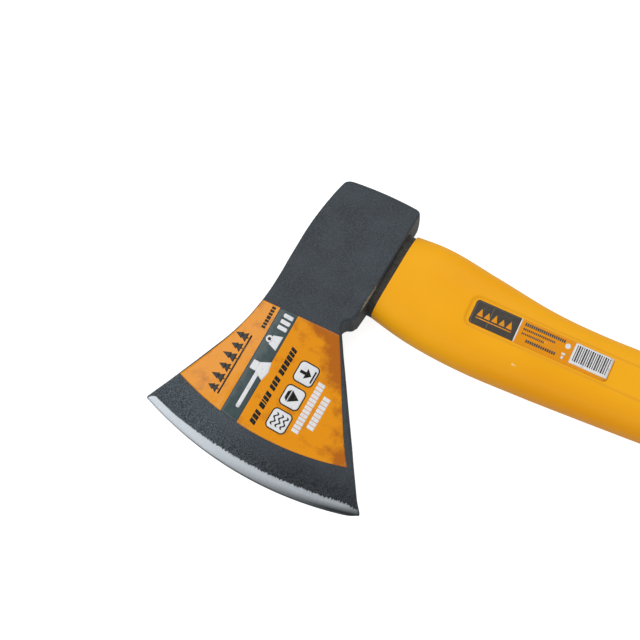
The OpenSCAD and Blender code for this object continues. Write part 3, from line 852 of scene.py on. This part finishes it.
def build_jacket(colours):
    """The yellow moulding: sections carried from the collar to the butt, with a shallow panel on each side.

    Its root runs parallel to the head's face, its middle is stepped in under the grip, and a hole with
    rounded rims goes through the butt.
    """
    root_end = 30.0
    before = np.concatenate([np.linspace(0, root_end, 40), np.linspace(root_end, GRIP_START, 210)[1:]])
    under = np.linspace(GRIP_START, GRIP_END, 40)
    after = np.concatenate([
        np.linspace(GRIP_END, HANDLE_END - BUTT_ROUND, 26),
        HANDLE_END - BUTT_ROUND * (1 - np.sin(np.radians(np.linspace(4, 90, 20)))) - 0.02])
    along = np.concatenate([before, under, after])[:, None]
    stepped_in = np.full(len(under), -GRIP_WALL)
    grow = np.concatenate([np.zeros(len(before)), stepped_in, np.zeros(len(after))])[:, None]
    turn = np.linspace(0, 2 * math.pi, 232, endpoint=False)[None]
    collar = arc([FACE_X - FACE_R, FACE_Y], FACE_R + COLLAR_L, -12, 0, 40)
    collar = to_design(*np.concatenate([collar, [[FACE_X + COLLAR_L, 40.0]]]).T, 0.0)
    x = np.broadcast_to(along, (len(along), turn.shape[1]))
    for _ in range(4):
        y, z = handle_section(x, turn, grow)
        start = np.interp(y, collar[:, 1], collar[:, 0])
        x = np.where(along < root_end, start + along / root_end * (root_end - start), along)
    depth = rounded_depth(x, y, *PANEL)
    floor = np.minimum(np.abs(z), HANDLE_T / 2 - PANEL_DEPTH)
    z = np.sign(z) * (np.abs(z) + (floor - np.abs(z)) * ease(depth, -0.1, 0.5))
    rings = np.stack([x, y, z], -1)
    jacket = tube_piece("handle_jacket_moulding", rings, moulded_polypropylene(colours))
    hole = np.radians(np.linspace(0, 360, 64, endpoint=False))
    depths = np.array([-20, -CHEEK, -12.0, -11.2, -10.4, 10.4, 11.2, 12.0, CHEEK, 20])
    radii = HANG_RADIUS + np.array([2.0, 1.6, 0.8, 0.25, 0, 0, 0.25, 0.8, 1.6, 2.0])
    rings = np.stack([
        HANG_FROM_EYE[0] + radii[:, None] * np.cos(hole), HANG_FROM_EYE[1] + radii[:, None] * np.sin(hole),
        np.broadcast_to(depths[:, None], (len(depths), len(hole)))], -1)
    cut_away(jacket, tube_piece("hang_cutter", rings, None))
    x, y, z = piece_points(jacket).T
    scuff = sum(bell(x, mark_x, long) * bell(y, mark_y, high) for mark_x, mark_y, long, high in SCUFFS)
    set_attribute(jacket, "scuff", scuff * (z > 0))
    # Painted shade along the lower side, fading in over the first stretch from the head
    low = 1 - ease(y - smooth_curve(STATIONS, 2, x), 0.0, SHADE_UP)
    set_attribute(jacket, "painted_lower_shade", SHADE_SHARE * low * ease(x, 0.0, SHADE_FULL))
    # Painted shade along the panel's rim, on the handle's two faces only
    rim = bell(rounded_depth(x, y, *PANEL), 0.25, 0.55)
    set_attribute(jacket, "painted_rim_shade", rim * (np.abs(z) > 0.8 * HANDLE_T / 2))
    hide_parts("handle_jacket")


def build_grip(sizes, colours):
    """The rubber sleeve: the handle's section grown by rounded ribs, with a hidden inner wall."""
    rib_count = round((GRIP_END - GRIP_START) / (sizes.rib_pitch / MM))
    along = np.linspace(GRIP_START, GRIP_END, rib_count * 16 + 1)
    wave = 0.5 - 0.5 * np.cos(2 * math.pi * rib_count * (along - GRIP_START) / (GRIP_END - GRIP_START))
    outer = RIB_H * wave**0.8
    inner = np.linspace(GRIP_END, GRIP_START, 40)
    x = np.concatenate([along, inner, along[:1]])[:, None]
    grow = np.concatenate([outer, np.full(len(inner), -GRIP_WALL), outer[:1]])[:, None]
    turn = np.linspace(0, 2 * math.pi, 160, endpoint=False)[None]
    y, z = handle_section(x, turn, grow)
    points = np.stack([np.broadcast_to(x, y.shape), y, z], -1)
    rows, columns = y.shape
    sleeve = new_piece(
        "grip_sleeve_moulding", points.reshape(-1, 3), grid_faces(rows, columns, wrap=True),
        moulded_rubber(colours))
    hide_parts("grip_sleeve")


# Printed films


def blade_place(u, v, lift):
    """Places in the head's frame, draped on the blade's front and lifted over it."""
    return to_design(u, v, cheek_height(u, v) + lift)


def head_place(p, q, lift):
    """Places in the head label's reading frame, draped on the blade."""
    return blade_place(-q, p, lift)


def panel_place(p, q, lift):
    """Places in the handle label's reading frame, on the floor of the front panel."""
    return np.stack(np.broadcast_arrays(p, PANEL[2] + q, HANDLE_T / 2 - PANEL_DEPTH + lift), -1)


class Sheets:
    """Thin printed shapes that share one ink: they are gathered as grids and become one piece."""

    def __init__(self, drape):
        self.drape = drape
        self.points = []
        self.faces = []
        self.count = 0

    def grid(self, p, q, layers, wrap=False):
        """Takes a grid of places, on top of the film and so many layers of ink."""
        points = self.drape(p, q, FILM_T + layers * INK_T)
        rows, columns = p.shape
        faces = grid_faces(rows, columns, wrap, self.count)
        a, b, c = (points.reshape(-1, 3)[faces[len(faces) // 2, k] - self.count] for k in (0, 1, 2))
        self.faces.append(faces if np.cross(b - a, c - a)[2] > 0 else faces[:, ::-1])
        self.points.append(points.reshape(-1, 3))
        self.count += rows * columns

    def shape(self, rim, layers, rows=5):
        """Fills a rim by drawing it together towards its middle, to a thousandth of its size."""
        rim = np.asarray(rim, float)
        middle = (rim.max(0) + rim.min(0)) / 2
        share = np.linspace(1, 0.001, rows)[:, None]
        p, q = (middle[k] + share * (rim[:, k] - middle[k]) for k in (0, 1))
        self.grid(p, q, layers, wrap=True)

    def row(self, widths, gap, height, start, q, rows=3, lean=0.0):
        """A row of plain blocks that stands for words, none a letter. A negative width is a space."""
        p = start
        for width in widths:
            if width > 0:
                self.shape(block(p + width / 2, q, width, height, lean, BLOCK_CORNER), 1, rows)
            p += abs(width) + gap

    def piece(self, name, material, slot, thickness):
        """Makes the gathered grids one piece, a thin shell whose top is where the grids lie."""
        mesh = bpy.data.meshes.new(name)
        points, faces = np.concatenate(self.points), np.concatenate(self.faces)
        mesh.from_pydata(((points + ORIGIN) * MM).tolist(), [], faces.tolist())
        mesh.shade_smooth()
        sheet = bpy.data.objects.new(name, mesh)
        bpy.context.scene.collection.objects.link(sheet)
        shell = sheet.modifiers.new("film", "SOLIDIFY")
        shell.thickness = thickness * MM
        shell.offset = -1
        mesh.materials.append(material)
        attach(sheet, BODY)
        return sheet


def block(p, q, width, height, lean=0.0, corner=0.0):
    """Rim of an upright block with round corners, leaning by a share of its height."""
    corner = min(max(corner, 0.05), 0.49 * min(width, height))
    turns = []
    for k, (sx, sy) in enumerate(((1, 1), (-1, 1), (-1, -1), (1, -1))):
        middle = [sx * (width / 2 - corner), sy * (height / 2 - corner)]
        turns.append(arc(middle, corner, 90 * k, 90 * k + 90, 5))
    rim = []
    for turn, following in zip(turns, turns[1:] + turns[:1]):
        rim += [turn[:-1], np.linspace(turn[-1], following[0], 4)[:-1]]
    rim = np.concatenate(rim)
    return rim + np.stack([lean * rim[:, 1], 0 * rim[:, 0]], -1) + [p, q]


def taper(p, q, base, height, top=None):
    """Rim with a level base, its middle at p and q, that narrows to a level top or else to a point."""
    end = [[p, q + height]] if top is None else [[p + top / 2, q + height], [p - top / 2, q + height]]
    return [[p - base / 2, q], [p + base / 2, q], *end]


def disc(p, q, radius, count=24):
    """Rim of a round spot."""
    return arc([p, q], radius, 0, 360, count + 1)[:-1]


def dense(corners):
    """A closed outline's corners with points set in along each side."""
    return np.concatenate([np.linspace(a, b, 6)[:-1] for a, b in zip(corners, corners[1:] + corners[:1])])


def label_bottom(u):
    """The head label's curved side."""
    return LABEL_MID[1] - np.sqrt(LABEL_R**2 - (u - LABEL_MID[0]) ** 2)


def film_grid(rows, columns):
    """The head label's outline as a grid, with rows from its straight top to its curved bottom."""
    t = np.linspace(0, 1, columns)[None]
    s = np.linspace(0, 1, rows)[:, None]
    left_v = LABEL_TOE_TOP[1] + s * (LABEL_TOE[1] - LABEL_TOE_TOP[1])
    left_u = toe_side(left_v) + LABEL_MARGIN
    right = LABEL_TOP[:, None, None] + s * (LABEL_HEEL - LABEL_TOP)[:, None, None]
    u = left_u + t * (right[0] - left_u)
    v = left_v + t * (right[1] - left_v)
    return u, v + s**2 * (label_bottom(u) - line_through(LABEL_TOE, LABEL_HEEL, u))


def build_head_label(colours):
    """The head's label: an orange film draped on the blade, with a dark band and printed shapes.

    Words and marks are stood for by rows of plain blocks and simple pictures: pines on a bar for the maker,
    a hatchet and a weight on the band, and an arrow, a cut stone and waves on the badges.
    """
    orange = printed_film("printed_film_orange", colours.film, "#ad5f12", 7.0)
    charcoal = printed_film("printed_film_charcoal", colours.film_band, "#2a3335", 1.8)
    black = printed_film("printed_film_black", colours.ink, "#2c2b22")
    white = printed_film("printed_film_white", colours.film_white, "#c4c6c8")

    film = Sheets(blade_place)
    film.grid(*film_grid(60, 70), 0)
    sheet = film.piece("head_label_film", orange, "head_film", FILM_T)
    u, v = to_head(piece_points(sheet))
    near_corner = bell(u, side_x(v)[1], 13) * (bell(v, -46, 17) + 0.9 * bell(v, -92, 18))
    along_top = bell(v, LABEL_TOP[1], 3.5) * ease(u, BAND[1], -18.0)
    set_attribute(sheet, "smudge", np.clip(near_corner + 0.8 * along_top, 0, 1))

    band = Sheets(blade_place)
    u = np.broadcast_to(np.linspace(*BAND, 12)[None], (60, 12))
    top = line_through(LABEL_TOE_TOP, LABEL_TOP, u)
    band.grid(u, top + np.linspace(0, 1, 60)[:, None] * (label_bottom(u) - top), 1)
    band.piece("head_label_band", charcoal, "head_film", INK_T)

    dark = Sheets(head_place)
    base = PINE_LINE[1]
    for k, tall in enumerate(PINE_HEIGHTS):
        p = PINE_LINE[0] + PINE_PITCH * k
        dark.shape(taper(p, base, 4.6, 0.68 * tall), 1)
        dark.shape(taper(p, base + 0.3 + 0.36 * tall, 3.2, 0.64 * tall), 2)
        dark.shape(block(p, base - 0.3, 0.7, 0.9), 1)
    dark.shape(block(*MAKER_BAR, corner=0.4), 1, 4)
    dark.row(MODEL_BLOCKS, 0.35, 1.9, -52.2, 38.6)
    dark.row(NAME_BLOCKS, 0.42, 3.0, -92.6, 20.8, rows=4, lean=0.3)
    for p in BADGES:
        dark.shape(block(p, *BADGE_FRAME, corner=2.3), 1, 8)
    dark.piece("head_label_dark_ink", black, "head_film", INK_T)

    pale = Sheets(head_place)
    for p in BADGES:
        pale.shape(block(p, *BADGE_FACE, corner=1.8), 2, 8)
    pale.shape(block(*HAFT, corner=0.9), 2, 4)
    pale.shape(dense(HAFTED_BLADE), 3)
    pale.shape(block(*HAFTED_POLL, corner=0.4), 3)
    pale.shape(dense(taper(*WEIGHT)), 2)
    pale.shape(disc(*WEIGHT_RING, 1.7), 2)
    for k in range(3):
        pale.shape(block(FIGURE_X + FIGURE_PITCH * k, *FIGURE, corner=0.5), 2)
    for start, q, width, count in LABEL_ROWS:
        pale.row((width,) * count, 0.29, 3.6, start, q, rows=4, lean=0.06)
    pale.piece("head_label_white_ink", white, "head_film", INK_T)

    small = Sheets(head_place)
    small.shape(disc(*WEIGHT_RING, 0.8), 3)
    arrow, stone, waves = BADGES
    small.shape(dense(taper(arrow, 10.9, 5.2, -3.0)), 3)
    small.shape(block(arrow, 12.2, 1.5, 3.0), 3)
    small.shape(block(arrow, 7.0, 6.0, 0.8), 3)
    small.shape(dense(taper(stone, 12.0, 6.0, -4.6)), 3)
    small.shape(dense(taper(stone, 12.4, 6.0, 1.5, 3.2)), 3)
    run = np.linspace(-3.2, 3.2, 33)
    for q in (7.9, 10.4, 12.9):
        wave = q + 0.65 * np.sin(2 * math.pi * run / 3.2)
        small.grid(waves + np.stack([run, run]), np.stack([wave - 0.45, wave + 0.45]), 3)
    small.piece("head_label_badge_ink", black, "head_film", INK_T)
    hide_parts("head_label")


def build_handle_label(colours):
    """The handle's label: a flat orange film with a dark block, a striped patch and rows of blocks."""
    orange = printed_film("printed_tag_orange", colours.film, "#b98a3f", 5.0)
    black = printed_film("printed_tag_black", "#46413c", "#57574f")
    white = printed_film("printed_tag_white", colours.film_white, "#a9a8a4")

    film = Sheets(panel_place)
    film.shape(block(TAG_X + TAG_L / 2, 0, TAG_L, TAG_H, corner=1.6), 0, 12)
    sheet = film.piece("handle_label_film", orange, "handle_film", FILM_T)

    dark = Sheets(panel_place)
    dark.shape(block(TAG_X + 6.0, 0, 12.0, TAG_H, corner=1.5), 1, 8)
    dark.shape(block(TAG_X + 15.0, 0, 14.0, TAG_H), 1.5, 8)
    for start, q, width, height, count in TAG_ROWS:
        dark.row((width,) * count, 0.26, height, TAG_X + start, q)
    dark.piece("handle_label_dark_ink", black, "handle_film", INK_T)

    pale = Sheets(panel_place)
    pale.shape(block(TAG_X + 22.3, 0, 0.6, TAG_H), 2, 3)
    pale.shape(block(TAG_X + 58.2, 0.75, 18.6, 10.1, corner=0.3), 1, 8)
    pale.shape(disc(TAG_X + 46.0, 2.6, 1.3, 20), 1)
    pale.shape(block(TAG_X + 45.4, -1.6, 1.8, 1.0, corner=0.3), 1, 3)
    pale.shape(block(TAG_X + 45.4, -3.4, 1.0, 1.4, corner=0.3), 1, 3)
    pale.piece("handle_label_white_ink", white, "handle_film", INK_T)

    motif = Sheets(panel_place)
    for k in range(5):
        motif.shape(taper(TAG_X + 3.9 + 3.6 * k, -1.4, 3.0, 3.8 - 0.5 * (k % 2)), 2)
    motif.shape(block(TAG_X + 11.1, -2.4, 17.4, 0.5), 2, 3)
    motif.piece("handle_label_orange_ink", orange, "handle_film", INK_T)

    stripes = Sheets(panel_place)
    for k in range(16):
        p = TAG_X + STRIPE_X + STRIPE_PITCH * k
        stripes.shape(block(p, 1.1, STRIPE_WIDTHS[k % 3], 8.0), 2, 3)
    stripes.piece("handle_label_stripes", black, "handle_film", INK_T)
    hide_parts("handle_label")


# Studio


FLOOR_GAP = 0.0003
FLOOR_BOUNCE = 0.10
AIM = np.array([-21.56, -32.74, 0.0])
SENSOR_W = 36.0


def build_studio(studio):
    """A white sweep, soft boxes and the camera."""
    scene = bpy.context.scene
    scene.view_settings.view_transform = "Standard"
    world = bpy.data.worlds.new("white_room")
    world.use_nodes = True
    room = world.node_tree
    mirrored = add(room, "LightPath", "Is Glossy Ray")
    lit, reflected = studio.room_light, studio.room_mirrored
    strength = add(room, "MapRange", 0, {"Value": mirrored, "To Min": lit, "To Max": reflected})
    room.links.new(strength, room.nodes["Background"].inputs["Strength"])
    room.nodes["Background"].inputs["Color"].default_value = linear("#ffffff")
    scene.world = world

    half = studio.floor_size / 2
    mesh = bpy.data.meshes.new("studio_floor")
    low = cad_box[0][2] - FLOOR_GAP
    corners = [(-half, -half, low), (half, -half, low), (half, half, low), (-half, half, low)]
    mesh.from_pydata(corners, [], [(0, 1, 2, 3)])
    floor = bpy.data.objects.new("studio_floor", mesh)
    scene.collection.objects.link(floor)
    material, tree, shader, _ = new_finish("white_paper", Roughness=0.9)
    seen = add(tree, "LightPath", "Is Camera Ray")
    glow = add(tree, "MapRange", 0, {"Value": seen, "To Min": FLOOR_BOUNCE, "To Max": studio.floor_glow})
    tree.links.new(glow, shader.inputs["Emission Strength"])
    shader.inputs["Base Color"].default_value = linear("#c8c8c8")
    shader.inputs["Emission Color"].default_value = linear("#ffffff")
    shader.inputs["Specular IOR Level"].default_value = 0.0
    mesh.materials.append(material)

    boxes = (
        ("toe_side_box", (-1.33, -0.1, 1.7), (1.7, 2.4), studio.key_power),
        ("edge_side_box", (0.25, -1.2, 1.7), (1.3, 0.7), studio.edge_power),
        ("poll_side_box", (0.2, 1.65, 1.7), (1.8, 1.5), studio.fill_power))
    for name, place, size, power in boxes:
        light = bpy.data.lights.new(name, "AREA")
        light.shape = "RECTANGLE"
        light.size, light.size_y = size
        light.energy = power
        lamp = bpy.data.objects.new(name, light)
        lamp.location = place
        scene.collection.objects.link(lamp)

    turn, height = studio.azimuth, studio.elevation
    back = Vector((math.sin(turn) * math.cos(height), -math.cos(turn) * math.cos(height), math.sin(height)))
    camera = bpy.data.cameras.new("camera")
    camera.lens = studio.lens
    camera.sensor_width = SENSOR_W
    viewer = bpy.data.objects.new("camera", camera)
    viewer.location = Vector((ORIGIN + AIM) * MM) + back * studio.distance
    viewer.rotation_euler = back.to_track_quat("Z", "Y").to_euler()
    scene.collection.objects.link(viewer)
    scene.camera = viewer


# Add-on


class HatchetSizes(bpy.types.PropertyGroup):
    """Sizes of the hatchet."""

    eye_height: FloatProperty(
        name="Eye height", description="Height of the eye along the head", default=38 * MM, unit="LENGTH")
    eye_width: FloatProperty(
        name="Eye width", description="Width of the eye between the cheeks", default=19 * MM, unit="LENGTH")
    rib_pitch: FloatProperty(
        name="Rib pitch", description="Distance between the grip's ribs", default=8 * MM, unit="LENGTH")


def colour_property(name, description, hex_colour):
    """A colour that a user may change."""
    return FloatVectorProperty(
        name=name, description=description, default=linear(hex_colour), subtype="COLOR", size=4,
        min=0, max=1)


class HatchetColours(bpy.types.PropertyGroup):
    """Colours of the hatchet's finishes."""

    enamel: colour_property("Enamel", "Slate paint of the head", "#272d32")
    enamel_specks: colour_property("Enamel specks", "Paler grain in the paint", "#454f58")
    steel: colour_property("Steel", "Ground bevel", "#bfc7ce")
    epoxy: colour_property("Epoxy", "Resin round the handle's end", "#2a2825")
    plastic: colour_property("Plastic", "Yellow moulding of the handle", "#eba103")
    plastic_pale: colour_property("Pale plastic", "Yellow moulding where it flowed last", "#efa908")
    rubber: colour_property("Rubber", "Black of the grip", "#141517")
    film: colour_property("Film", "Orange of the labels", "#e08e0a")
    film_band: colour_property("Band", "Dark band of the head's label", "#3f4e50")
    film_white: colour_property("White ink", "White of the labels", "#dcdde0")
    ink: colour_property("Black ink", "Black of the labels", "#15140f")


class HatchetStudio(bpy.types.PropertyGroup):
    """The camera, the lights and the floor."""

    azimuth: FloatProperty(
        name="Azimuth", description="Camera's turn round the hatchet",
        default=math.radians(25), subtype="ANGLE")
    elevation: FloatProperty(
        name="Elevation", description="Camera's height over the floor",
        default=math.radians(74), subtype="ANGLE")
    distance: FloatProperty(
        name="Distance", description="From the camera to its aim", default=0.95, unit="LENGTH")
    lens: FloatProperty(name="Lens", description="Focal length in millimetres", default=116.2)
    floor_size: FloatProperty(name="Floor", description="Side of the floor", default=8.0, unit="LENGTH")
    floor_glow: FloatProperty(
        name="Floor glow", description="Light that the floor gives of itself", default=0.8)
    room_light: FloatProperty(name="Room light", description="Strength of the white room", default=0.64)
    room_mirrored: FloatProperty(
        name="Mirrored room", description="Strength of the room where surfaces mirror it", default=0.2)
    key_power: FloatProperty(
        name="Key", description="Power of the box on the toe's side", default=20.0, unit="POWER")
    edge_power: FloatProperty(
        name="Edge", description="Power of the box on the edge's side", default=3.2, min=0, unit="POWER")
    fill_power: FloatProperty(
        name="Fill", description="Power of the box on the poll's side", default=11.0, unit="POWER")


class HATCHET_OT_head(bpy.types.Operator):
    """Builds the forged head"""

    bl_idname = "hatchet.head"
    bl_label = "Head"

    def execute(self, context):
        build_head(context.scene.hatchet_sizes, context.scene.hatchet_colours)
        return {"FINISHED"}


class HATCHET_OT_resin(bpy.types.Operator):
    """Builds the resin that sets the handle in the eye"""

    bl_idname = "hatchet.resin"
    bl_label = "Eye resin"

    def execute(self, context):
        build_resin(context.scene.hatchet_sizes, context.scene.hatchet_colours)
        return {"FINISHED"}


class HATCHET_OT_core(bpy.types.Operator):
    """Gives the fibreglass core its finish"""

    bl_idname = "hatchet.core"
    bl_label = "Core"

    def execute(self, context):
        core = frame["nodes"]["handle_core"]
        core.data.materials.clear()
        core.data.materials.append(pultruded_fibreglass())
        return {"FINISHED"}


class HATCHET_OT_jacket(bpy.types.Operator):
    """Builds the yellow plastic handle"""

    bl_idname = "hatchet.jacket"
    bl_label = "Handle"

    def execute(self, context):
        build_jacket(context.scene.hatchet_colours)
        return {"FINISHED"}


class HATCHET_OT_grip(bpy.types.Operator):
    """Builds the ribbed rubber grip"""

    bl_idname = "hatchet.grip"
    bl_label = "Grip"

    def execute(self, context):
        build_grip(context.scene.hatchet_sizes, context.scene.hatchet_colours)
        return {"FINISHED"}


class HATCHET_OT_labels(bpy.types.Operator):
    """Builds the two printed films"""

    bl_idname = "hatchet.labels"
    bl_label = "Labels"

    def execute(self, context):
        build_head_label(context.scene.hatchet_colours)
        build_handle_label(context.scene.hatchet_colours)
        return {"FINISHED"}


class HATCHET_OT_studio(bpy.types.Operator):
    """Builds the floor, the lights and the camera"""

    bl_idname = "hatchet.studio"
    bl_label = "Studio"

    def execute(self, context):
        build_studio(context.scene.hatchet_studio)
        return {"FINISHED"}


OPERATORS = (
    HATCHET_OT_head, HATCHET_OT_resin, HATCHET_OT_core, HATCHET_OT_jacket, HATCHET_OT_grip,
    HATCHET_OT_labels, HATCHET_OT_studio)


class HATCHET_PT_panel(bpy.types.Panel):
    """Lists the hatchet's pieces and its sizes"""

    bl_label = "Hatchet"
    bl_space_type = "VIEW_3D"
    bl_region_type = "UI"
    bl_category = "Hatchet"

    def draw(self, context):
        for group in ("hatchet_sizes", "hatchet_colours", "hatchet_studio"):
            settings = getattr(context.scene, group)
            for key in type(settings).__annotations__:
                self.layout.prop(settings, key)
        for operator in OPERATORS:
            self.layout.operator(operator.bl_idname)


GROUPS = {"hatchet_sizes": HatchetSizes, "hatchet_colours": HatchetColours, "hatchet_studio": HatchetStudio}


def register():
    """Registers the add-on's classes and hangs its settings on the scene."""
    for each in (*GROUPS.values(), *OPERATORS, HATCHET_PT_panel):
        bpy.utils.register_class(each)
    for name, group in GROUPS.items():
        setattr(bpy.types.Scene, name, PointerProperty(type=group))


def unregister():
    """Takes the settings and the classes away again."""
    for name in GROUPS:
        delattr(bpy.types.Scene, name)
    for each in reversed((*GROUPS.values(), *OPERATORS, HATCHET_PT_panel)):
        bpy.utils.unregister_class(each)


def main():
    """Builds every piece and the studio."""
    register()
    for operator in OPERATORS:
        group, name = operator.bl_idname.split(".")
        getattr(getattr(bpy.ops, group), name)()


if __name__ == "__main__":
    main()
